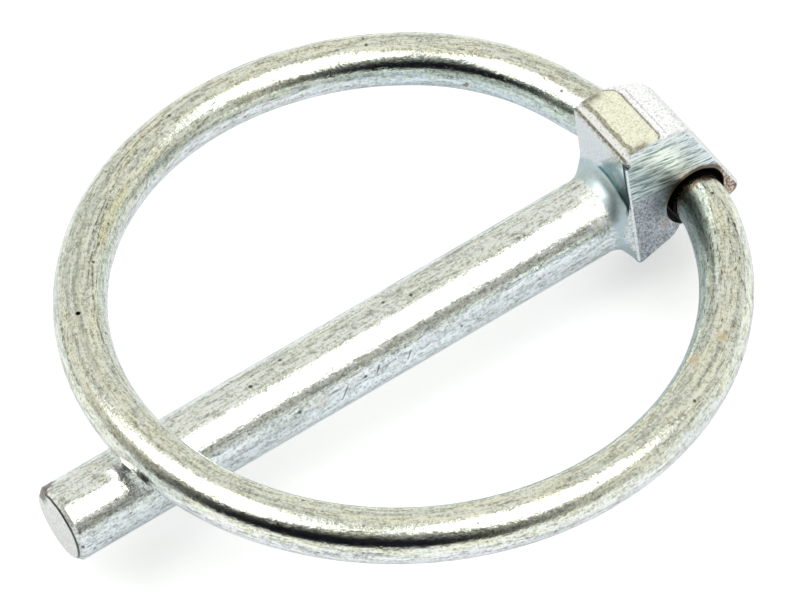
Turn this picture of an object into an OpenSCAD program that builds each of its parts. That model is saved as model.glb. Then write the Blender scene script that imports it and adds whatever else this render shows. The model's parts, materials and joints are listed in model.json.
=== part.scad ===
// Linch pin: a round shank with a forged head, and a sprung wire ring that swings in the head's eye.
// Frame: the shank runs along +X from the shoulder of the head, and +Z is the side that the closed
// ring lies on. The origin is where the shank's axis meets the shoulder, and the ring's far end is
// the one on the -Y side. All sizes are millimetres.

/* [Shank] */
// Diameter of the shank
shank_d = 6; // [5:0.1:8]
// How far the shank runs on past the closed ring
tip_past_ring = 5.2; // [2:0.1:15]
// Chamfer round the tip
tip_chamfer = 0.4; // [0.1:0.05:0.8]
// Radius of the fillet between shank and shoulder
root_fillet = 1.7; // [0.6:0.1:2.4]

/* [Head] */
// How far each side of the head stands out past the shank
head_side = 0.4; // [0.2:0.05:1.5]
// How far the foot of the head stands out below the shank
head_foot = 0.6; // [0.2:0.05:1.5]
// How far the top of the head stands above the shank
head_step = 5.2; // [4:0.1:8]
// Thickness of the head between the shoulder and the eye
plate_t = 2.95; // [2:0.05:5]
// Thickness of the lip behind the eye
lip_t = 0.6; // [0.4:0.05:1.5]
// Lean of the head's sloping back, in degrees from upright
back_lean = 22; // [10:1:30]
// Radius of the crown between the flat top and the sloping back
crown_r = 2.8; // [2:0.1:3.6]
// Rounding of the crown's side edge on the +Y side
crown_round = 0.5; // [0.4:0.1:1.6]
// Rounding of the crown's side edge on the -Y side, which the forging left softer
far_round = 1.3; // [0.4:0.1:1.6]
// Radius of the lip's lower corner
lip_r = 0.8; // [0.5:0.05:1.2]
// Bevel along the top edge of the shoulder
top_bevel = 0.65; // [0.3:0.05:1]
// Depth of the crease between the flat top and the crown
crease_depth = 0.2; // [0.05:0.05:0.4]
// Bevel on the head's other sharp edges
edge_bevel = 0.15; // [0.1:0.05:0.5]

/* [Eye] */
// Height of the eye above the shank's axis
eye_rise = 0.3; // [-0.5:0.1:1]
// Play round the wire inside the eye
eye_play = 0.45; // [0.3:0.05:0.8]
// Width of the gap under the eye where the curled lip stops short of the foot
mouth_w = 2.2; // [1:0.1:3]
// Radius of the foot's rear corner
toe_r = 1.75; // [1.2:0.05:2.2]
// Slope of the foot's underside, which rises towards the toe, in degrees
foot_slope = 18; // [0:1:22]
// How far the foot reaches under the eye
toe_reach = 1; // [0.4:0.1:1.4]

/* [Ring] */
// Diameter of the ring's wire
wire_d = 4; // [3:0.1:5]
// Diameter of the ring, measured to the middle of the wire
ring_mean_d = 46.8; // [39:0.2:60]
// How far the ring's middle lies to one side of the middle of the head
ring_side = 0.75; // [0:0.05:1]
// Radius of the bend, to the middle of the wire, where each end turns into the eye
bend_r = 8; // [6:0.5:10]
// Length of each straight end outside the head, before the bend
end_clear = 0.25; // [0.15:0.05:0.5]
// Gap between the two wire ends inside the eye
end_gap = 0.8; // [0.4:0.1:1.4]
// Radius of the stretch where the far end is pinched in, as a share of the ring's radius
pinch = 0.77; // [0.72:0.01:0.82]
// Where the far end starts to pinch in, in degrees round the ring from the eye
pinch_at = 55; // [50:1:65]
// Gap between the closed ring and the shank
seat_gap = 0.05; // [0.02:0.01:0.2]

/* [Hidden] */
$fn = 96;
LOFT_FN = 64;
ROUND_FN = 16;
EPS = 0.02;
// where two lengths of wire meet, each stops this short and a ball this much wider joins them
TRIM = 0.1;
BALL_OVER = 0.01;
// clearance that the leaning end of the wire keeps from the wall of the eye
LEAN_GAP = 0.1;

shank_r = shank_d / 2;
wire_r = wire_d / 2;
ring_r = ring_mean_d / 2;

// head: x is 0 at the shoulder and negative towards the back
half_w = shank_r + head_side;
head_top = shank_r + head_step;
head_bottom = -shank_r - head_foot;
eye_r = wire_r + eye_play;
eye_x = -plate_t - eye_r;
lip_end_z = eye_rise - sqrt(eye_r * eye_r - mouth_w * mouth_w / 4);

// the sloping back is a plane at lip_t behind the eye: x * back_n[0] + z * back_n[1] = back_off
back_n = [-cos(back_lean), sin(back_lean)];
back_off = eye_x * back_n[0] + eye_rise * back_n[1] + eye_r + lip_t;
crown_z = head_top - crown_r;
crown_x = (back_off - crown_r - crown_z * back_n[1]) / back_n[0];
lip_z = lip_end_z - EPS * 4 + lip_r;
lip_x = (back_off - lip_r - lip_z * back_n[1]) / back_n[0];

// foot: its underside rises from the shoulder to foot_end, where the toe's circle takes over; the
// circle dips just under it so that the two never meet edge on
toe_x = -plate_t - toe_reach + toe_r;
toe_z = head_bottom - toe_x * tan(foot_slope) + toe_r / cos(foot_slope) - EPS * 2;
foot_end = toe_x - toe_r * sin(foot_slope);

// ring: seen in its own plane, the eye's axis is the line x = 0 and the ring's centre lies on +x
out_y = half_w + end_clear;
cut_y = end_gap / 2;
bend_a = asin((out_y + ring_side) / (ring_r - bend_r));
ring_cx = bend_r + sqrt(pow(ring_r - bend_r, 2) - pow(out_y + ring_side, 2));

// far end: it leans in the eye as far as its play lets it, about the middle of its length there
in_half = (half_w - cut_y) / 2;
lean_room = eye_r - LEAN_GAP;
lean_a = acos(wire_r / norm([lean_room, in_half])) - atan2(in_half, lean_room);

// and its bend, its straight and its pinched stretch run tangent into one another: bend_to_pinch
// goes from the bend's centre to the pinched stretch's
pinch_r = pinch * ring_r;
bend_c = [tan(lean_a) * (in_half + end_clear) + bend_r * cos(lean_a), out_y - bend_r * sin(lean_a)];
pinch_c = [ring_cx - (ring_r - pinch_r) * cos(pinch_at), ring_side + (ring_r - pinch_r) * sin(pinch_at)];
bend_to_pinch = pinch_c - bend_c;
pinch_a = acos((pinch_r - bend_r) / norm(bend_to_pinch)) - atan2(bend_to_pinch[1], bend_to_pinch[0]);
pinch_l = sqrt(bend_to_pinch * bend_to_pinch - pow(pinch_r - bend_r, 2));

ring_runs = [[(out_y - cut_y) / cos(lean_a), 0], [bend_r, pinch_a - lean_a], [pinch_l, 0],
             [pinch_r, pinch_at - pinch_a], [ring_r, 360 - pinch_at - bend_a],
             [bend_r, bend_a], [out_y - cut_y, 0]];

ring_reach = ring_cx + ring_r;
rest_tilt = asin((shank_r + wire_r + seat_gap - eye_rise) / ring_reach);

shank_l = eye_x + ring_reach * cos(rest_tilt) + wire_r + tip_past_ring;

// a box between two corners
module box(from, to) {
    translate(from)
        cube(to - from);
}

// a round bar across the head, whose rims on the -Y and +Y side are rounded by rims[0] and rims[1]
module cross_bar(x, z, r, rims) {
    for (i = [0, 1])
        translate([x, (2 * i - 1) * (half_w - rims[i]), z])
            rotate([90, 0, 0])
                rotate_extrude($fn = LOFT_FN)
                    translate([r - rims[i], 0])
                        circle(rims[i], $fn = ROUND_FN);
}

// the head's outer form: a flat shoulder plate that blends into the rounded crown and lip
module head_form() {
    side = half_w - edge_bevel;
    low = head_bottom + edge_bevel;
    shoulder_top = head_top - top_bevel;
    hull() {
        box([-plate_t, -side, low], [0, side, shoulder_top]);
        box([-plate_t, -half_w, low], [-edge_bevel, half_w, shoulder_top + edge_bevel]);
        box([-plate_t, -side, head_bottom], [-edge_bevel, side, head_top - top_bevel]);
        box([-plate_t, -side, low], [-top_bevel, side, head_top]);
        cross_bar(crown_x, crown_z, crown_r, [far_round, crown_round]);
        cross_bar(lip_x, lip_z, lip_r, [lip_r / 2, lip_r / 2]);
    }
}

// a cut that runs across the whole head
module across() {
    rotate([90, 0, 0])
        linear_extrude(4 * half_w, center = true)
            children();
}

// what is cut away under the foot, and under the eye up to the end of the lip, leaving the toe
module under_eye() {
    back = -4 * eye_r - plate_t;
    across()
        difference() {
            polygon([[0, head_bottom], [foot_end, head_bottom - foot_end * tan(foot_slope)],
                     [foot_end, lip_end_z], [back, lip_end_z], [back, 2 * head_bottom],
                     [0, 2 * head_bottom]]);
            translate([toe_x, toe_z])
                circle(toe_r);
        }
}

module head() {
    difference() {
        head_form();
        across()
            translate([eye_x, eye_rise])
                circle(eye_r);
        under_eye();
        across()
            translate([crown_x, head_top + crease_depth])
                circle(2 * crease_depth);
    }
}

// half section of the shank and its root fillet, along the shank's axis
module shank_section() {
    flat_l = shank_l - tip_chamfer;
    polygon([[0, -plate_t / 2], [shank_r, -plate_t / 2], [shank_r, flat_l],
             [shank_r - tip_chamfer, shank_l], [0, shank_l]]);
}

module root_section() {
    difference() {
        translate([0, -plate_t / 2])
            square([shank_r + root_fillet, plate_t / 2 + root_fillet]);
        translate([shank_r + root_fillet, root_fillet])
            circle(root_fillet);
    }
}

// turns a half section round the shank's axis
module turned() {
    rotate([0, 90, 0])
        rotate_extrude()
            children();
}

// the fillet, cut off flush with the sides and the foot of the head
module root() {
    side = half_w - edge_bevel;
    intersection() {
        turned()
            root_section();
        box([-plate_t, -side, head_bottom + edge_bevel], [2 * root_fillet, side, head_top - top_bevel]);
    }
}

module pin() {
    color([0.78, 0.79, 0.74]) {
        head();
        root();
        turned()
            shank_section();
    }
}

// a ball a hair wider than the wire, which joins two lengths that stop short of it; its poles lie
// along the wire
module joint_ball() {
    rotate([90, 0, 0])
        sphere(wire_r + BALL_OVER);
}

// the wire from its own start towards +Y, as a list of runs: [length, 0] is straight and
// [radius, degrees] bends towards +X
module wire(runs, i = 0) {
    size = runs[i][0];
    turn = runs[i][1];
    last = i == len(runs) - 1;
    if (i > 0)
        joint_ball();
    if (turn == 0)
        straight_wire(i > 0 ? TRIM : 0, last ? size : size - TRIM);
    else
        translate([size, 0, 0])
            bent_wire(size, turn);
    if (!last)
        translate([turn == 0 ? 0 : size, turn == 0 ? size : 0, 0])
            rotate([0, 0, -turn])
                translate([turn == 0 ? 0 : -size, 0, 0])
                    wire(runs, i + 1);
}

module straight_wire(from, to) {
    translate([0, from, 0])
        rotate([-90, 0, 0])
            cylinder(h = to - from, r = wire_r);
}

module bent_wire(radius, turn) {
    trim = TRIM / radius * 180 / PI;
    rotate_extrude(start = 180 - turn + trim, angle = turn - 2 * trim)
        translate([radius, 0])
            circle(wire_r);
}

module ring() {
    color([0.74, 0.76, 0.73])
        translate([eye_x, 0, eye_rise])
            rotate([0, -rest_tilt, 0])
                mirror([0, 1, 0])
                    translate([-in_half * tan(lean_a), cut_y, 0])
                        rotate([0, 0, -lean_a])
                            wire(ring_runs);
}

pin();
ring();
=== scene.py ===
"""Linch pin: finishes, floor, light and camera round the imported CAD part.

The scene is in metres, and the finishes are painted in millimetres. In both, +X runs down the shank
from the shoulder, +Z is up and the eye's axis is along Y. Angles with a name are in degrees, and
angles inside a node tree are in radians. Colours are linear.
"""
import json
import math
from functools import reduce

import bpy
from mathutils import Matrix, Vector


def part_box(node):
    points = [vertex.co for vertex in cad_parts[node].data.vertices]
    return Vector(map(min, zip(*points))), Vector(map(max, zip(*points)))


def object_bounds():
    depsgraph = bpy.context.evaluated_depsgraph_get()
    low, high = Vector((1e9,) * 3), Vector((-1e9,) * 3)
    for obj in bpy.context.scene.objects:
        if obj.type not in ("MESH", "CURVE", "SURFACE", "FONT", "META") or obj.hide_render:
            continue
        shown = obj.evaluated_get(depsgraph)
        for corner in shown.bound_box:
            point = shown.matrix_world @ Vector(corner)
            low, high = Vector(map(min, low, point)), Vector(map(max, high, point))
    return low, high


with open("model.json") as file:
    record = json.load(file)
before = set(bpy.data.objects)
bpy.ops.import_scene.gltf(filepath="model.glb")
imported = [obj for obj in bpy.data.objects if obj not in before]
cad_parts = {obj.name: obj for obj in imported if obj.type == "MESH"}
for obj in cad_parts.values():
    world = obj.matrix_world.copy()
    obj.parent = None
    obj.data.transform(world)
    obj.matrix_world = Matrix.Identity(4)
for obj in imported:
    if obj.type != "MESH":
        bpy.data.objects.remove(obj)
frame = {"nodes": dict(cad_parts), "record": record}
cad_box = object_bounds()
MM = 0.001
TO_MM = 1000.0


# ---------------------------------------------------------------- the part's measures, in mm

pin_lo, pin_hi = (corner * TO_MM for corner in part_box("pin"))
ring_lo, ring_hi = (corner * TO_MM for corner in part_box("ring"))
joint = frame["record"]["behaviour"]["joints"][0]
hinge = Vector(joint["pos_m"]) * TO_MM
shank_r = next(m["dims"]["r_mm"] for m in frame["record"]["mounts"] if m["name"] == "shank")

# the closed ring leans up by tilt from the hinge, where its wire lies lowest
wire_r = hinge.z - ring_lo.z
reach = Vector((ring_hi.x - wire_r - hinge.x, ring_hi.z - wire_r - hinge.z))
tilt = math.atan2(reach.y, reach.x)
ring_r = (ring_hi.y - ring_lo.y) / 2 - wire_r
ring_out = Vector((math.cos(tilt), 0, math.sin(tilt)))
ring_side = Vector((0, 1, 0))
ring_up = Vector((-math.sin(tilt), 0, math.cos(tilt)))
ring_mid = hinge + (reach.length - ring_r) * ring_out
ring_mid.y = (ring_hi.y + ring_lo.y) / 2

# these measures of part.scad aren't in the frame
EYE_PLAY = 0.45
TIP_CHAMFER = 0.4
# from the back of the shoulder plate, where the eye's wall touches it, to the crease on the head's top
CREASE_BACK = 0.60

head_top = pin_hi.z
head_foot = pin_lo.z
half_w = pin_hi.y
eye_r = wire_r + EYE_PLAY
crease_x = hinge.x + eye_r - CREASE_BACK


# ---------------------------------------------------------------- node helpers

class Shader:
    """A node tree with short calls. A value is a number, a tuple or another node's output."""

    def __init__(self, tree):
        self.tree = tree
        tree.nodes.clear()

    def put(self, kind, values=None, out=0, **settings):
        """Adds a node, sets or links its inputs by number or name, and returns its output out."""
        node = self.tree.nodes.new("ShaderNode" + kind)
        for name, value in settings.items():
            setattr(node, name, value)
        for key, value in (values or {}).items():
            if isinstance(value, bpy.types.NodeSocket):
                self.tree.links.new(value, node.inputs[key])
            else:
                node.inputs[key].default_value = value
        return node.outputs[out] if len(node.outputs) else None

    def math(self, op, a, b=0.0):
        return self.put("Math", {0: a, 1: b}, operation=op)

    def chain(self, op, values):
        return reduce(lambda a, b: self.math(op, a, b), values)

    def add(self, *values):
        return self.chain("ADD", values)

    def mul(self, *values):
        return self.chain("MULTIPLY", values)

    def either(self, *values):
        return self.chain("MAXIMUM", values)

    def sub(self, a, b):
        return self.math("SUBTRACT", a, b)

    def size(self, value):
        return self.math("ABSOLUTE", value)

    def length(self, a, b):
        return self.math("SQRT", self.add(self.mul(a, a), self.mul(b, b)))

    def ramp(self, value, low, high, to_low=0.0, to_high=1.0):
        """value runs smoothly from to_low at low to to_high at high; high may be under low."""
        if high < low:
            low, high, to_low, to_high = high, low, to_high, to_low
        return self.put("MapRange", {0: value, 1: low, 2: high, 3: to_low, 4: to_high},
                        interpolation_type="SMOOTHSTEP")

    def band(self, value, middle, half, soft):
        """1 within half of middle, falling to 0 over soft."""
        return self.ramp(self.size(self.sub(value, middle)), half + soft, half)

    def swing(self, noise, width):
        """A noise of 0 to 1 made to swing that width about 0."""
        return self.mul(self.sub(noise, 0.5), width)

    # Blender's Mix node takes values at its inputs 2 and 3, vectors at 4 and 5 and colours at 6 and 7

    def mix_value(self, share, a, b):
        return self.put("Mix", {0: share, 2: a, 3: b})

    def mix_vector(self, share, a, b):
        return self.put("Mix", {0: share, 4: a, 5: b}, out=1, data_type="VECTOR")

    def mix(self, share, a, b, blend="MIX"):
        a, b = ((*c, 1.0) if isinstance(c, tuple) else c for c in (a, b))
        return self.put("Mix", {0: share, 6: a, 7: b}, out=2, data_type="RGBA", blend_type=blend)

    def vec(self, op, a, b, out=0):
        return self.put("VectorMath", {0: a, 1: b}, out=out, operation=op)

    def dot(self, a, b):
        return self.vec("DOT_PRODUCT", a, tuple(b), out=1)

    def apart(self, place, spot):
        return self.vec("DISTANCE", place, tuple(spot), out=1)

    def split(self, vector):
        node = self.tree.nodes.new("ShaderNodeSeparateXYZ")
        self.tree.links.new(vector, node.inputs[0])
        return node.outputs

    def join(self, x, y, z):
        return self.put("CombineXYZ", {0: x, 1: y, 2: z})

    def noise(self, where, scale, detail=3.0, rough=0.55):
        return self.put("TexNoise", {"Vector": where, "Scale": scale, "Detail": detail, "Roughness": rough})

    def cells(self, where, scale):
        return self.put("TexVoronoi", {"Vector": where, "Scale": scale})


class Surface:
    """The metal of one piece while it is painted: the place of each point in mm, the way it faces,
    and its colour, roughness, height in mm and share of metal so far. zinc() lays the first coat."""

    def __init__(self, name):
        self.material = bpy.data.materials.new(name)
        self.material.use_nodes = True
        s = self.s = Shader(self.material.node_tree)
        self.place = s.put("VectorMath", {0: s.put("TexCoord", out="Object"), 3: TO_MM}, operation="SCALE")
        self.x, self.y, self.z = s.split(self.place)
        self.nx, self.ny, self.nz = s.split(s.put("TexCoord", out="Normal"))
        self.colour = None
        self.rough = None
        self.height = None
        self.metal = 1.0

    def paint(self, share, colour, blend="MIX"):
        self.colour = self.s.mix(share, self.colour, colour, blend)

    def dull(self, share):
        """Takes away the metal's own shine, as a bloom or rust does."""
        self.metal = self.s.sub(self.metal, share)

    def roughen(self, least):
        self.rough = self.s.either(self.rough, least)

    def finish(self):
        bump = self.s.put("Bump", {"Strength": 1.0, "Distance": MM, "Height": self.height})
        shader = self.s.put("BsdfPrincipled", {
            "Base Color": self.colour, "Roughness": self.rough, "Normal": bump, "Metallic": self.metal})
        self.s.put("OutputMaterial", {"Surface": shader})
        return self.material


# ---------------------------------------------------------------- bright zinc plate

# how much the grain of the drawn steel is stretched, as a share of its scale across the metal
RING_GRAIN = 0.16
SHANK_GRAIN = 0.21
PLATE_ROUGH = 0.16
DARKEST_MOTTLE = 0.15
BRIGHTEST_MOTTLE = 1.22
# heights in mm
BUMPS = 0.028
STREAKS = 0.0025
FLECK_DEPTH = 0.004

# each pair is the colour on the pin and on the ring, whose bloom is the yellower one
# the cream is partly painted light from above, and the plate below is painted paler and bluer as a
# reflection of the pale floor
CREAM_BLOOM_AND_TOP_LIGHT = (0.89, 0.92, 0.86), (0.80, 0.81, 0.70)
BARE_PLATE_AND_FLOOR_SHEEN = (0.78, 0.82, 0.85), (0.83, 0.83, 0.85)
WARM_BLOOM = (0.83, 0.82, 0.62)
COOL_BLOOM = (0.70, 0.74, 0.72)
DULL_PATCH = (0.60, 0.63, 0.55)
GREY_STREAK = (0.54, 0.58, 0.53)
YELLOW_STREAK = (0.90, 0.88, 0.70)
FLECK = (0.10, 0.10, 0.07)
SMALL_PIT = (0.05, 0.05, 0.035)
# black for pits and scores, and for painted shade in the eye and on the wire where it goes into it
BLACK_DIRT_AND_SHADE = (0.006, 0.005, 0.004)


def zinc(f, where, along, up, patina, scored=0.0):
    """Lays bright zinc on drawn steel. where is the place in mm, along the same place squeezed along
    the way the metal was drawn, up how far the surface faces up, patina how yellow the bloom on it is
    and scored how thick the scratches are, both 0 to 1."""
    s = f.s
    lay_bloom_and_painted_light(f, where, along, up, patina)

    # the mottle of the plate, from about 0.3 mm down to a few hundredths
    streak = s.noise(along, 4.5, 3.0, 0.65)
    speck = s.noise(where, 3.6, 3.0, 0.9)
    grit = s.noise(along, 3.4, 4.0, 0.86)
    mottle = s.add(s.swing(speck, 2.5), s.swing(grit, 2.7), s.swing(streak, 0.6))
    shade = s.math("MINIMUM", s.either(s.add(1.0, mottle), DARKEST_MOTTLE), BRIGHTEST_MOTTLE)
    f.paint(1.0, s.join(shade, shade, s.math("POWER", shade, 1.12)), "MULTIPLY")

    # short dark scratches along the metal, thicker on some stretches than on others, and small pits
    worn = s.add(s.ramp(s.noise(along, 0.16, 1.0), 0.42, 0.62, 0.30, 0.35), s.mul(scored, 0.045))
    fleck = s.ramp(s.sub(s.noise(along, 5.0, 2.0, 0.7), worn), 0.0, -0.05)
    f.paint(s.mul(fleck, 0.85), FLECK)
    pit = s.ramp(s.cells(where, 0.55), 0.10, 0.05)
    f.paint(s.mul(pit, 0.85), SMALL_PIT)

    f.rough = s.add(PLATE_ROUGH, s.swing(speck, -0.12), s.mul(fleck, 0.15))
    bumps = s.mul(s.noise(where, 2.6, 3.0, 0.62), BUMPS)
    f.height = s.sub(s.add(bumps, s.mul(streak, STREAKS)), s.mul(fleck, FLECK_DEPTH))


def lay_bloom_and_painted_light(f, where, along, up, patina):
    """A cream and olive bloom on what faces up, partly painted light from above, and paler, bluer plate
    below, a painted reflection of the pale floor.
    """
    s = f.s
    cloud = s.noise(where, 0.9, 2.0)
    tint = s.noise(along, 1.6, 3.0, 0.7)
    patch = s.noise(along, 0.45, 2.0)
    drawn = s.noise(s.vec("MULTIPLY", along, (0.35, 1.0, 1.0)), 1.5, 2.0, 0.6)
    bloom = s.ramp(s.add(up, s.swing(cloud, 0.7)), -0.05, 0.42)
    # painted light: cream where the surface faces up, and the floor's painted reflection where it faces
    # down
    f.colour = s.mix(bloom, s.mix(patina, *BARE_PLATE_AND_FLOOR_SHEEN), s.mix(patina, *CREAM_BLOOM_AND_TOP_LIGHT))
    warm = s.mul(s.ramp(tint, 0.50, 0.66), bloom)
    f.paint(s.mul(warm, s.ramp(patina, 0.0, 1.0, 0.35, 0.75)), WARM_BLOOM)
    f.paint(s.mul(s.ramp(tint, 0.50, 0.34), 0.5), COOL_BLOOM)
    f.paint(s.ramp(patch, 0.50, 0.34, 0.0, 0.30), DULL_PATCH)
    f.paint(s.mul(s.ramp(drawn, 0.48, 0.34), patina, 0.55), GREY_STREAK)
    f.paint(s.mul(s.ramp(drawn, 0.54, 0.68), patina, 0.50), YELLOW_STREAK)


# ---------------------------------------------------------------- ring

def ring_spot(degrees, outward, above):
    """A place in mm: how far round the ring from its far end, and how far outward from the wire's
    middle and above it."""
    turn = math.radians(degrees)
    off = (ring_r + outward) * (math.cos(turn) * ring_out + math.sin(turn) * ring_side)
    return ring_mid + off + above * ring_up


PIT_SPOT = ring_spot(-24.4, 0.23, 2.0)
SCRATCH_TURN = -28
SCRATCH_SPOT = ring_spot(SCRATCH_TURN, -0.6, 1.9)
BROWN_SPOT = ring_spot(-135.6, -2.0, -0.2)
# the place of each orange stain, how far it reaches in mm and how strong it is
ORANGE_STAINS = (
    (ring_spot(130.5, 0.5, 1.9), 0.65, 0.5),
    (ring_spot(123.9, -0.8, 1.85), 0.8, 0.6),
)
# scores of the drawing die: where each starts and ends round the ring and round the wire, in
# degrees, and half its width in mm
DRAWING_MARKS = (
    (-53, -41, 106, 118, 0.03),
    (-56, -44, 101, 103, 0.03),
    (-41, -33, 112, 109, 0.03),
    (-37, -5, 117, 128, 0.04),
    (-82, -64, 72, 62, 0.03),
    (-76, -60, 84, 80, 0.03),
    (-24, -10, 41, 33, 0.06),
    (150, 160, 45, 62, 0.03),
    (140, 144.5, 29, 58, 0.06),
)
# the middles of the two stretches with more scratches than the rest, in mm round the ring: one on its
# -Y side, and one on its +Y side by the head
SCORED_SIDE = -28.0
SCORED_BY_HEAD = 63.0
# the middles of the grey and the yellow stretch, in degrees round the ring and round the wire
GREY_TURN, GREY_WIRE = -24, 84
YELLOW_TURN, YELLOW_WIRE = -50, 124

# painted shade and reflection on the wire's side that faces the ring's inside
INNER_SHADE_BLUE = (0.66, 0.80, 0.86)
GREY_STRETCH = (0.36, 0.39, 0.36)
YELLOW_STRETCH = (0.92, 0.86, 0.56)
BROWN_STAIN = (0.22, 0.15, 0.10)
ORANGE_STAIN = (0.78, 0.60, 0.36)
BROWN_DIRT = (0.30, 0.20, 0.11)


class RingSurface(Surface):
    """A surface that also knows each point's place on the wire: turn is its angle round the ring
    from the far end and arc that in mm, radius is its distance from the ring's axis and up its height
    over the ring's plane, and round_wire is its angle round the wire, from the outside up."""

    def __init__(self, name):
        super().__init__(name)
        s = self.s
        off = s.vec("SUBTRACT", self.place, tuple(ring_mid))
        self.out, self.side, self.up = (s.dot(off, axis) for axis in (ring_out, ring_side, ring_up))
        self.turn = s.math("ARCTAN2", self.side, self.out)
        self.arc = s.mul(self.turn, ring_r)
        self.radius = s.length(self.out, self.side)
        self.round_wire = s.math("ARCTAN2", self.up, s.sub(self.radius, ring_r))
        self.where = s.join(self.arc, self.radius, self.up)
        self.along = s.join(s.mul(self.arc, RING_GRAIN), self.radius, self.up)
        self.wander = s.swing(s.noise(self.place, 2.8, 4.0, 0.75), 1.5)


def ring_material():
    f = RingSurface("ring_zinc")
    s = f.s
    scored = s.either(s.mul(s.band(f.arc, SCORED_SIDE, 5.0, 4.0), s.ramp(f.nz, 0.5, 0.8)),
                      s.mul(s.band(f.arc, SCORED_BY_HEAD, 5.0, 4.0), s.ramp(f.nz, 0.3, 0.7)))
    zinc(f, f.where, f.along, up=f.nz, patina=1.0, scored=scored)
    shade_inner_side(f)
    paint_stretches(f)
    paint_stains(f)
    # black pits and scores, and painted shadow on the wire where it goes into the eye
    dirt_and_shade = s.either(dirt_and_shadow_at_eye(f), pit_and_scratch(f), drawing_scores(f))
    f.paint(dirt_and_shade, BLACK_DIRT_AND_SHADE)
    f.roughen(s.mul(dirt_and_shade, 0.75))
    return f.finish()


def shade_inner_side(f):
    """The plate is painted darker and bluish where the wire faces the ring's inside, most of all near the
    head, as painted shade and reflection from inside the ring.
    """
    s = f.s
    # outward is how far the surface faces away from the ring's axis
    slope = s.add(s.mul(f.nx, math.cos(tilt)), s.mul(f.nz, math.sin(tilt)))
    outward = s.math("DIVIDE", s.add(s.mul(f.out, slope), s.mul(f.side, f.ny)), f.radius)
    inner = s.mul(s.ramp(outward, -0.45, -0.80), s.ramp(f.x, 14.0, 4.0, 0.10, 0.6))
    f.paint(inner, INNER_SHADE_BLUE, "MULTIPLY")


def paint_stretches(f):
    """A broad stretch that the light bloom has left grey, and a yellow one beside it."""
    s = f.s
    around = s.add(f.round_wire, s.mul(f.wander, 0.1))
    grey = s.mul(s.band(around, math.radians(GREY_WIRE), 0.05, 0.14),
                 s.band(f.turn, math.radians(GREY_TURN), 0.22, 0.15),
                 s.ramp(s.noise(f.along, 3.0, 2.0, 0.6), 0.40, 0.60, 0.3, 0.9))
    f.paint(s.mul(grey, 0.55), GREY_STRETCH)
    yellow = s.mul(s.band(around, math.radians(YELLOW_WIRE), 0.10, 0.14),
                   s.band(f.turn, math.radians(YELLOW_TURN), 0.10, 0.10))
    f.paint(s.mul(yellow, 0.40), YELLOW_STRETCH, "MULTIPLY")


def paint_stains(f):
    """A brown spot on the inner side near the head, and orange stains across the ring from it."""
    s = f.s
    spot = s.ramp(s.add(s.apart(f.place, BROWN_SPOT), s.mul(f.wander, 0.6)), 0.36, 0.16)
    f.paint(s.mul(spot, 0.85), BROWN_STAIN)
    stains = [s.ramp(s.add(s.apart(f.place, middle), f.wander), size, 0.2, 0.0, strength)
              for middle, size, strength in ORANGE_STAINS]
    f.paint(s.either(*stains), ORANGE_STAIN)


def pit_and_scratch(f):
    """Returns how black a pit on the wire's top and a thin slanting scratch beside it are."""
    s = f.s
    pit = s.ramp(s.apart(f.place, PIT_SPOT), 0.24, 0.14)
    round_ring = s.mul(s.sub(f.turn, math.radians(SCRATCH_TURN)), ring_r)
    slant = s.sub(round_ring, s.mul(s.sub(f.radius, ring_r - 0.6), 1.2))
    cut = s.mul(s.band(s.add(slant, s.mul(f.wander, 0.25)), 0.0, 0.02, 0.05),
                s.ramp(s.apart(f.place, SCRATCH_SPOT), 0.8, 0.5))
    return s.either(pit, s.mul(cut, 0.45))


def drawing_scores(f):
    """Returns how black the long thin DRAWING_MARKS are, which break up here and there."""
    s = f.s
    stretched = s.join(s.mul(f.arc, 0.45), f.radius, f.up)
    broken = s.ramp(s.noise(stretched, 5.0, 3.0, 0.75), 0.44, 0.54)
    scores = []
    for from_turn, to_turn, from_wire, to_wire, half in DRAWING_MARKS:
        middle_turn = math.radians(from_turn + to_turn) / 2
        middle_wire = math.radians(from_wire + to_wire) / 2
        lean = math.radians(to_wire - from_wire) / math.radians(to_turn - from_turn)
        path = s.add(middle_wire, s.mul(s.sub(f.turn, middle_turn), lean))
        gap = s.add(s.mul(s.sub(f.round_wire, path), wire_r), s.mul(f.wander, 0.09))
        # full strength stops short of the mark's ends, where it fades
        span = s.band(f.turn, middle_turn, math.radians(to_turn - from_turn) / 2.4, 0.06)
        scores.append(s.mul(s.band(gap, 0.0, half, half + 0.04), span, broken, 0.65))
    return s.either(*scores)


def dirt_and_shadow_at_eye(f):
    """Paints a brown, dirty rim round the wire where it goes into the eye, and returns how much painted
    black shadow there is inside that, on the wire next to the head."""
    s = f.s
    near_head = s.ramp(f.x, hinge.x + 5, hinge.x + 3)
    depth = s.add(s.size(f.y), f.wander)
    brown = s.mul(s.ramp(depth, half_w + 1.15, half_w + 0.35), near_head)
    f.paint(s.mul(brown, 0.7), BROWN_DIRT)
    # painted shadow: black on the wire next to the head
    return s.mul(s.ramp(depth, half_w + 0.45, half_w + 0.15), near_head)


# ---------------------------------------------------------------- pin

# short scratches on the shank's +Y side: the middle of each along the shank and its height on the
# side, its slant and half its length in height
SHANK_SCRATCHES = (
    (25.0, 0.37, -0.78, 0.42),
    (22.0, 0.82, -0.65, 0.24),
    (19.4, 0.48, -0.65, 0.28),
)
SHANK_NICKS = (
    (30.9, 0.1, 3.0),
    (27.9, -0.66, 2.92),
    (28.7, 2.82, 1.0),
    (23.1, 2.89, 0.8),
)
SHANK_STAIN = (26.9, 2.85, 0.8)

# each pair is the colour and that of the specks or strokes in it
FACED_PLATE = (0.76, 0.78, 0.80), (0.50, 0.50, 0.54)
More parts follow.
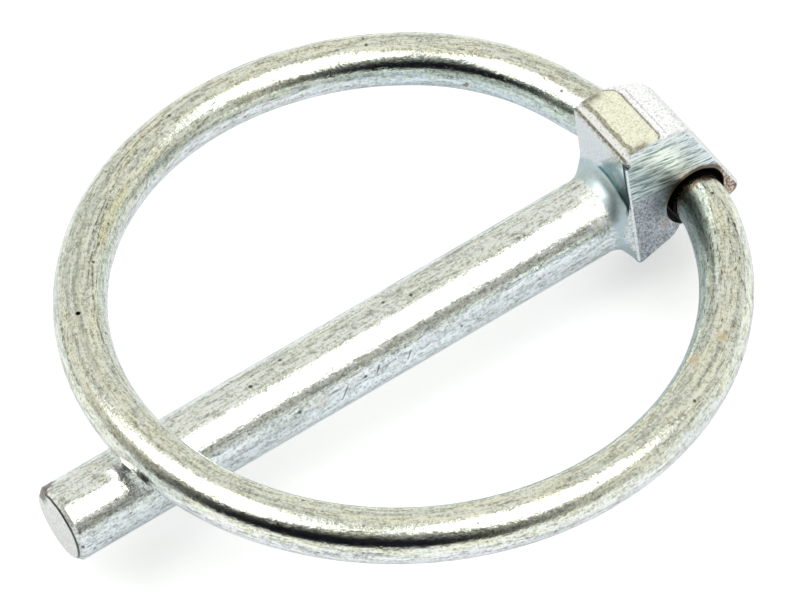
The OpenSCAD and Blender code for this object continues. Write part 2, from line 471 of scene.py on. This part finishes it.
# the back is painted pale as a reflection of the pale floor
BACK_PLATE = (0.95, 0.95, 0.95), (0.54, 0.53, 0.58)
CROWN_PLATE = (0.95, 0.95, 0.95), (0.56, 0.55, 0.60)
TOP_BLOOM = (0.92, 0.91, 0.73), (0.64, 0.64, 0.49)
# the bevel is painted near white as a highlight
BEVEL_HIGHLIGHT = (1.0, 1.0, 0.98), (0.55, 0.50, 0.42)
END_PLATE = (1.0, 1.0, 0.97), (0.68, 0.68, 0.66)
# each pair runs from dark to pale
BRUSHED_SIDE = (0.13, 0.24, 0.27), (0.95, 1.0, 1.0)
SPECKLED_SIDE = (0.14, 0.17, 0.18), (0.64, 0.66, 0.71)
LIP_RUST = (0.16, 0.10, 0.07), (0.82, 0.64, 0.50)
TIP_RUST = (0.02, 0.015, 0.012), (0.34, 0.25, 0.20)
FILLET_BLUE = (0.55, 0.67, 0.70)
# a painted reflection of the shank in the shoulder, and its darker edge
MIRRORED_SHANK_TEAL = (0.42, 0.60, 0.63)
MIRRORED_EDGE_TEAL = (0.03, 0.15, 0.17)
# painted highlights along the head's corner edges
EDGE_HIGHLIGHT = (0.93, 0.95, 0.96)
LOWER_EDGE = (0.12, 0.12, 0.13)
CROWN_EDGE = (0.14, 0.13, 0.13)
GRIME = (0.15, 0.125, 0.09)
SIDE_SHADOW = (0.05, 0.07, 0.08)
EYE_RIM = (0.16, 0.12, 0.08)
PALE_DIRT = (0.50, 0.44, 0.33)
# painted shade in the shoulder's corner, and dark marks along its edge
CORNER_DIRT_AND_SHADE = (0.015, 0.022, 0.025)
END_RING = (0.04, 0.04, 0.03)
SCRATCH = (0.05, 0.05, 0.05)
NICK = (0.05, 0.05, 0.045)
YELLOW_STAIN = (0.80, 0.72, 0.56)


class PinSurface(Surface):
    """A surface with the noises that make the pin's borders uneven: wander bends them finely and
    waver broadly, both in mm, and ragged breaks them up."""

    def __init__(self, name):
        super().__init__(name)
        s = self.s
        self.wander = s.swing(s.noise(self.place, 2.5, 3.0, 0.6), 0.8)
        self.waver = s.swing(s.noise(self.place, 0.8, 2.0, 0.5), 0.7)
        self.ragged = s.noise(self.place, 6.0, 3.0, 0.7)
        self.on_head = s.ramp(self.x, 0.05, 0.0)
        self.from_axis = s.length(self.y, self.z)
        self.from_eye = s.apart(s.join(self.x, 0.0, self.z), (hinge.x, 0.0, hinge.z))

    def speckled(self, low, high, pair):
        """A colour that runs from the first of the pair to the second as ragged goes from low to
        high."""
        return self.s.mix(self.s.ramp(self.ragged, low, high), *pair)


def pin_material():
    f = PinSurface("pin_zinc")
    s = f.s
    # the shank was drawn along X, and the head was forged
    forged = s.ramp(f.x, 1.9, 1.0)
    along = s.mix_vector(forged, s.join(s.mul(f.x, SHANK_GRAIN), f.y, f.z), f.place)
    zinc(f, f.place, along, up=s.sub(f.nz, 0.3), patina=0.0)
    f.height = s.mul(f.height, s.ramp(forged, 0.0, 1.0, 1.0, 0.5))
    for paint_part in (paint_shoulder, paint_crown, paint_head_top, paint_head_side, paint_head_edges,
                       paint_near_corner, paint_tip, paint_shank_marks, paint_eye_wall):
        paint_part(f)
    return f.finish()


def paint_shoulder(f):
    """The faced shoulder is smooth and grey, and the fillet at the shank's root is blue-grey."""
    s = f.s
    shoulder = s.mul(s.ramp(f.nx, 0.85, 0.97), s.ramp(f.x, 0.5, 0.3))
    f.paint(s.mul(shoulder, 0.8), f.speckled(0.50, 0.38, FACED_PLATE))
    f.rough = s.mix_value(shoulder, f.rough, 0.10)
    f.height = s.mul(f.height, s.ramp(shoulder, 0.0, 1.0, 1.0, 0.4))

    fillet = s.mul(s.ramp(f.nx, 0.12, 0.35), s.ramp(f.nx, 0.98, 0.9),
                   s.ramp(f.x, 1.7, 1.3), s.ramp(f.x, -0.02, 0.05))
    f.paint(s.mul(fillet, 0.85), FILLET_BLUE)
    root = s.mul(s.ramp(f.x, 3.4, 1.8), s.ramp(shoulder, 1.0, 0.0))
    f.rough = s.mix_value(root, f.rough, 0.40)


def paint_crown(f):
    """The crown and the sloping back: the back painted as paler plate with fine grey specks, a painted
    reflection of the pale floor it shows at a grazing angle, and a dotted dark line along the crown's side
    edge."""
    s = f.s
    back = s.mul(s.ramp(f.x, crease_x - 0.25, crease_x - 0.45),
                 s.ramp(s.sub(f.nz, f.nx), 0.45, 0.75),
                 s.ramp(f.z, 2.5, 5.5, 0.6, 1.0))
    # painted reflection: the back paler
    f.paint(s.mul(back, 0.9), f.speckled(0.50, 0.38, BACK_PLATE))
    f.dull(s.mul(back, 0.35))
    edge = s.mul(s.band(s.size(f.ny), 0.62, 0.10, 0.10),
                 s.ramp(f.x, crease_x, crease_x - 0.3),
                 s.ramp(f.ragged, 0.40, 0.52, 0.15, 0.8))
    f.paint(edge, CROWN_EDGE)


def paint_head_top(f):
    """Cream bloom on the flat top, a painted highlight on the bevel before it and grime along its borders.
    """
    s = f.s
    high = s.mul(s.ramp(f.z, head_top - 0.75, head_top - 0.62), f.on_head, s.ramp(s.size(f.ny), 0.75, 0.5))
    # the back border curves forward at both ends
    bend = s.either(s.sub(f.y, 2.6), s.sub(s.mul(f.y, -1.0), 2.1), 0.0)
    border = s.sub(f.x, s.mul(bend, bend, 0.8))
    front = s.ramp(s.add(f.x, s.either(f.waver, -0.12)), -0.62, -0.74)
    rear = s.ramp(s.add(border, s.mul(f.wander, 0.3), s.mul(f.waver, 0.5)), crease_x, crease_x + 0.15)
    flat = s.mul(front, rear, high)
    f.paint(s.mul(flat, 0.9), f.speckled(0.52, 0.40, TOP_BLOOM))
    crown = s.mul(s.ramp(border, crease_x + 0.12, crease_x - 0.05), high, s.ramp(f.x, -1.0, -1.5))
    f.paint(crown, f.speckled(0.50, 0.38, CROWN_PLATE))
    # painted highlight: the bevel near white
    bevel = s.mul(s.band(s.add(f.x, s.mul(f.wander, 0.15)), -0.47, 0.15, 0.08), high)
    f.paint(bevel, f.speckled(0.44, 0.36, BEVEL_HIGHLIGHT))

    # grime behind the bevel, before it, in the crease and in the two front corners of the flat top
    behind = s.mul(s.band(s.add(f.x, s.mul(f.wander, 0.4), f.waver), -0.88, 0.10, 0.20),
                   s.ramp(f.ragged, 0.42, 0.56, 0.45, 1.0))
    before = s.mul(s.band(f.x, -0.20, 0.05, 0.07), s.ramp(f.ragged, 0.38, 0.50, 0.4, 1.0))
    crease = s.mul(s.band(s.add(border, s.mul(f.wander, 0.3)), crease_x + 0.10, 0.05, 0.10),
                   s.ramp(f.ragged, 0.38, 0.54, 0.35, 1.0))
    corner = s.mul(s.ramp(s.add(s.size(f.y), f.wander), half_w - 1.0, half_w - 0.35),
                   s.ramp(f.x, -2.6, -1.9), s.ramp(f.x, -0.4, -0.8),
                   s.ramp(f.ragged, 0.38, 0.54, 0.35, 0.95))
    grime = s.mul(s.either(behind, before, crease, corner), high)
    f.paint(s.mul(grime, 0.9), GRIME)
    f.dull(s.either(s.mul(s.either(flat, crown), 0.60), s.mul(s.either(bevel, grime), 0.75)))


def paint_head_side(f):
    """The side of the head: brushed above the eye, speckled grey beside it, and dirty at its rim."""
    s = f.s
    side = s.mul(s.ramp(s.size(f.ny), 0.72, 0.92), s.ramp(f.x, 0.05, -0.05))
    across = s.add(f.z, s.mul(f.x, -0.18))
    brush = s.noise(s.join(s.mul(f.x, 0.09), f.y, across), 5.5, 4.0, 0.75)
    upper = s.ramp(s.add(across, s.mul(f.wander, 2.0)), 2.6, 4.2)
    brushed = s.mix(s.ramp(brush, 0.38, 0.56), *BRUSHED_SIDE)
    # darker strokes before the eye's upper rim
    shadow = s.mul(s.ramp(f.from_eye, eye_r + 2.7, eye_r + 0.4),
                   s.ramp(f.x, hinge.x - 0.3, hinge.x + 1.2),
                   s.ramp(f.z, -0.5, 1.5),
                   s.ramp(brush, 0.62, 0.42, 0.55, 1.0))
    tone = s.mix(upper, f.speckled(0.34, 0.66, SPECKLED_SIDE), brushed)
    f.paint(s.mul(side, 0.9), s.mix(s.mul(shadow, 0.90), tone, SIDE_SHADOW))
    f.height = s.add(f.height, s.mul(side, upper, brush, 0.010))

    # rust on the lip, a brown rim over the eye, and a pale spot of dirt before it
    lip = s.mul(s.ramp(f.x, hinge.x - 1.5, hinge.x - 2.2), s.ramp(f.z, hinge.z + 2.9, hinge.z + 1.6))
    f.paint(s.mul(lip, 0.85, side), f.speckled(0.42, 0.56, LIP_RUST))
    rim = s.mul(s.band(s.add(f.from_eye, s.mul(f.wander, 0.4)), eye_r + 0.15, 0.15, 0.20),
                s.ramp(f.z, hinge.z + 0.6, hinge.z + 1.6))
    f.paint(s.mul(rim, side, 0.9), EYE_RIM)
    before_eye = (hinge.x + eye_r + 0.3, half_w, -0.8)
    spot = s.ramp(s.add(s.apart(f.place, before_eye), s.mul(f.wander, 0.6)), 0.55, 0.2)
    f.paint(s.mul(spot, 0.6), PALE_DIRT)


def paint_head_edges(f):
    """Painted highlights up the head's corner edges, and a dark lower edge."""
    s = f.s
    edge = s.mul(s.ramp(s.size(f.nx), 0.35, 0.5), s.ramp(s.size(f.ny), 0.35, 0.5), f.on_head)
    f.paint(s.mul(edge, s.ramp(f.ragged, 0.38, 0.50, 0.35, 0.8)), EDGE_HIGHLIGHT)
    foot = s.mul(s.ramp(f.z, head_foot + 0.32, head_foot + 0.18), f.on_head)
    f.paint(s.mul(foot, 0.6), LOWER_EDGE)


def paint_near_corner(f):
    """The shoulder by its +Y edge: a painted reflection of the shank in blue-green over the fillet, darker
    where the two meet, painted shade in its corner, and a dark line along the edge and a dark spot at its
    top."""
    s = f.s
    front = s.mul(s.ramp(f.nx, 0.30, 0.45), s.ramp(f.x, 1.2, 0.8), s.ramp(f.x, -0.05, -0.01))
    above = s.mul(s.ramp(s.sub(f.z, s.mul(f.y, 1.12)), 4.9, 4.4),
                  s.ramp(f.y, -1.4, -0.6), s.ramp(f.z, 0.0, 1.2), front)
    on_face = s.join(0.0, f.y, f.z)
    # painted reflection: the shank mirrored in the shoulder, blue-green with a paler patch and darker along
    # the fillet's border
    plate = s.mul(above, s.ramp(f.from_axis, shank_r + 0.95, shank_r + 1.15),
                  s.ramp(s.apart(on_face, (0.0, 2.1, 5.0)), 0.4, 1.1, 0.2, 1.0))
    f.paint(s.mul(plate, 0.8), MIRRORED_SHANK_TEAL, "MULTIPLY")
    mirrored_edge = s.mul(s.band(f.from_axis, shank_r + 1.15, 0.08, 0.14), above)
    f.paint(s.mul(mirrored_edge, 0.8), MIRRORED_EDGE_TEAL)

    # painted shade in the corner by the +Y edge
    corner = s.mul(s.ramp(s.apart(on_face, (0.0, half_w - 0.3, 3.3)), 1.5, 0.5), front,
                   s.ramp(f.from_axis, shank_r + 0.9, shank_r + 1.2))
    # the dark line along the edge widens from the foot up
    width = s.ramp(f.z, -3.0, 4.5, 0.02, 0.20)
    line = s.mul(s.ramp(s.sub(f.y, s.sub(half_w - 0.22, width)), -0.06, 0.04),
                 s.ramp(f.nx, 0.75, 0.95), s.ramp(f.z, -3.4, 0.0, 0.3, 0.9))
    top = s.mul(s.ramp(s.apart(f.place, (-0.1, half_w - 0.1, head_top - 0.85)), 0.42, 0.22),
                s.ramp(f.ragged, 0.36, 0.48, 0.5, 1.0))
    dirt_and_shade = s.either(s.mul(corner, 0.85), line, top)
    f.paint(s.mul(dirt_and_shade, 0.92), CORNER_DIRT_AND_SHADE)
    f.roughen(s.mul(dirt_and_shade, 0.7))


def paint_tip(f):
    """The shank's end: pale, with a dark ring at its border and rust on its upper corner at -Y."""
    s = f.s
    end_x = pin_hi.x - TIP_CHAMFER
    end = s.ramp(f.x, end_x - 0.05, end_x + 0.02)
    face = s.mul(end, s.ramp(f.nx, 0.80, 0.95))
    f.paint(s.mul(face, 0.9), f.speckled(0.56, 0.38, END_PLATE))
    rim = s.mul(s.band(s.add(f.from_axis, s.mul(f.wander, 0.12)), shank_r - TIP_CHAMFER + 0.06, 0.03, 0.07),
                end, s.ramp(s.add(f.y, f.z), -2.0, 1.0, 0.2, 1.0))
    f.paint(s.mul(rim, 0.95), END_RING)
    corner = s.apart(f.place, (pin_hi.x - 0.2, -2.1, 2.1))
    rust = s.ramp(s.add(corner, s.mul(f.wander, 1.4)), 1.25, 0.85)
    f.paint(rust, f.speckled(0.46, 0.62, TIP_RUST))
    f.dull(s.either(s.mul(end, 0.6), s.mul(rust, 0.95)))


def paint_shank_marks(f):
    """The single scratches, nicks and the stain on the shank."""
    s = f.s
    for at, high, slant, half in SHANK_SCRATCHES:
        line = s.sub(s.sub(f.x, at), s.mul(s.sub(f.z, high), slant))
        cut = s.mul(s.band(line, 0.0, 0.03, 0.06), s.band(f.z, high, half, 0.10), s.ramp(f.ny, 0.5, 0.7))
        f.paint(s.mul(cut, 0.8), SCRATCH)
    for spot in SHANK_NICKS:
        nick = s.ramp(s.add(s.apart(f.place, spot), s.mul(f.wander, 0.3)), 0.20, 0.10)
        f.paint(s.mul(nick, 0.85), NICK)
    stain = s.ramp(s.add(s.apart(f.place, SHANK_STAIN), f.wander), 0.9, 0.2, 0.0, 0.35)
    f.paint(stain, YELLOW_STAIN)


def paint_eye_wall(f):
    """The wall of the eye and the rim round it are painted black, as the shade inside the eye, down to the
    mouth.
    """
    s = f.s
    wall = s.ramp(f.from_eye, eye_r + 0.10, eye_r + 0.03)
    rim = s.mul(s.ramp(f.from_eye, eye_r + 0.60, eye_r + 0.40), s.ramp(s.size(f.ny), 0.6, 0.3))
    inside = s.mul(s.either(wall, rim), s.ramp(f.z, hinge.z - 2.6, hinge.z - 1.8))
    # painted shade inside the eye
    f.paint(s.mul(inside, 0.97), BLACK_DIRT_AND_SHADE)
    f.metal = s.either(f.metal, inside)
    f.roughen(s.mul(inside, 0.95))


for node, material in (("pin", pin_material()), ("ring", ring_material())):
    mesh = frame["nodes"][node].data
    mesh.materials.clear()
    mesh.materials.append(material)


# ---------------------------------------------------------------- floor

# half the floor's side in m, its gap under the ring in mm, and the light it gives to the camera alone
FLOOR_HALF = 1.5
FLOOR_GAP = 0.1
FLOOR_GLOW = 0.35
FLOOR_PALE = (0.86, 0.86, 0.86)
FLOOR_MIRRORED = (0.84, 0.87, 0.90)
middle = (Vector(cad_box[0]) + Vector(cad_box[1])) / 2


def pale_floor():
    """A plain floor under the ring where it hangs lowest, at its last turn, so that the floor cuts it
    at no pose."""
    last_tilt = tilt + math.radians(joint["range_deg"][1])
    lowest = hinge.z + reach.length * math.sin(last_tilt) - wire_r
    height = (lowest - FLOOR_GAP) * MM
    corners = [(middle.x + sx * FLOOR_HALF, middle.y + sy * FLOOR_HALF, height)
               for sx, sy in ((-1, -1), (1, -1), (1, 1), (-1, 1))]
    mesh = bpy.data.meshes.new("floor")
    mesh.from_pydata(corners, [], [(0, 1, 2, 3)])
    mesh.materials.append(floor_material())
    plane = bpy.data.objects.new("floor", mesh)
    bpy.context.scene.collection.objects.link(plane)
    return plane


def floor_material():
    """White to the camera, and a little bluer in the metal's reflections."""
    material = bpy.data.materials.new("pale_floor")
    material.use_nodes = True
    s = Shader(material.node_tree)
    mirrored = s.put("LightPath", out="Is Glossy Ray")
    lit = s.put("BsdfDiffuse", {"Color": s.mix(mirrored, FLOOR_PALE, FLOOR_MIRRORED)})
    seen = s.put("LightPath", out="Is Camera Ray")
    glow = s.put("Emission", {"Color": (1, 1, 1, 1), "Strength": s.mul(seen, FLOOR_GLOW)})
    s.put("OutputMaterial", {"Surface": s.put("AddShader", {0: lit, 1: glow})})
    return material


floor = pale_floor()


# ---------------------------------------------------------------- light

# how far each softbox is from the object and how large, in m
SOFTBOX_AWAY = 0.6
SOFTBOX_WIDTH = 0.50
SOFTBOX_HEIGHT = 0.42
# the unlit room behind the camera's stand: the way to its middle and its half sizes in degrees, and
# the shares of those sizes from which and to which it turns pale
ROOM_AZIMUTH = 40
ROOM_ELEVATION = 18
ROOM_HALF_WIDTH = 70
ROOM_HALF_HEIGHT = 38.5
ROOM_CORE = 0.40
ROOM_RIM = 1.45
ROOM_DARK = (0.003, 0.003, 0.008)
STUDIO_PALE = (0.76, 0.765, 0.72)


def direction(azimuth, elevation):
    a, e = math.radians(azimuth), math.radians(elevation)
    return Vector((math.cos(a) * math.cos(e), math.sin(a) * math.cos(e), math.sin(e)))


def softbox(name, azimuth, elevation, level):
    """A rectangular lamp whose face has the radiance level, turned to the object."""
    lamp = bpy.data.lights.new(name, "AREA")
    lamp.shape = "RECTANGLE"
    lamp.size = SOFTBOX_WIDTH
    lamp.size_y = SOFTBOX_HEIGHT
    lamp.energy = level * math.pi * SOFTBOX_WIDTH * SOFTBOX_HEIGHT
    holder = bpy.data.objects.new(name, lamp)
    way = direction(azimuth, elevation)
    holder.location = middle + way * SOFTBOX_AWAY
    holder.rotation_euler = way.to_track_quat("Z", "Y").to_euler()
    bpy.context.scene.collection.objects.link(holder)


def studio_world():
    """A pale studio with a soft dark patch, which the bright metal mirrors."""
    world = bpy.data.worlds.new("studio")
    world.use_nodes = True
    s = Shader(world.node_tree)
    way = s.put("TexCoord", out="Generated")
    room = direction(ROOM_AZIMUTH, ROOM_ELEVATION)
    sideways = direction(ROOM_AZIMUTH + 90, 0)
    upward = room.cross(sideways)
    across = s.math("ARCTAN2", s.dot(way, sideways), s.dot(way, room))
    rise = s.math("ARCSINE", s.dot(way, upward))
    from_room = s.math("SQRT", s.add(
        s.math("POWER", s.mul(across, 1 / math.radians(ROOM_HALF_WIDTH)), 2.0),
        s.math("POWER", s.mul(rise, 1 / math.radians(ROOM_HALF_HEIGHT)), 2.0)))
    colour = s.mix(s.ramp(from_room, ROOM_CORE, ROOM_RIM), ROOM_DARK, STUDIO_PALE)
    s.put("OutputWorld", {"Surface": s.put("Background", {"Color": colour, "Strength": 1.0})})
    return world


softbox("softbox_left", -20, 60, 1.9)
softbox("softbox_right", 122, 60, 2.0)
bpy.context.scene.world = studio_world()


# ---------------------------------------------------------------- camera

# fitted to the outlines in the photo: the lens for a 36 mm sensor, the camera's place in mm, and
# which way is right and which is down in its picture
SENSOR_MM = 36
LENS_MM = 337.5
CAMERA_AT = Vector((164.61, 313.43, 420.02))
PICTURE_RIGHT = Vector((-0.83241, 0.54215, -0.11473))
PICTURE_DOWN = Vector((0.48363, 0.60967, -0.62801))
CLIP_END = 10


def photo_camera():
    data = bpy.data.cameras.new("camera")
    data.sensor_width = SENSOR_MM
    data.lens = LENS_MM
    data.clip_end = CLIP_END
    camera = bpy.data.objects.new("camera", data)
    bpy.context.scene.collection.objects.link(camera)
    right = PICTURE_RIGHT.normalized()
    down = (PICTURE_DOWN - right * PICTURE_DOWN.dot(right)).normalized()
    forward = right.cross(down)
    turned = Matrix((right, -down, -forward)).transposed().to_4x4()
    camera.matrix_world = Matrix.Translation(CAMERA_AT * MM) @ turned
    return camera


bpy.context.scene.camera = photo_camera()
bpy.context.scene.view_settings.view_transform = "Standard"
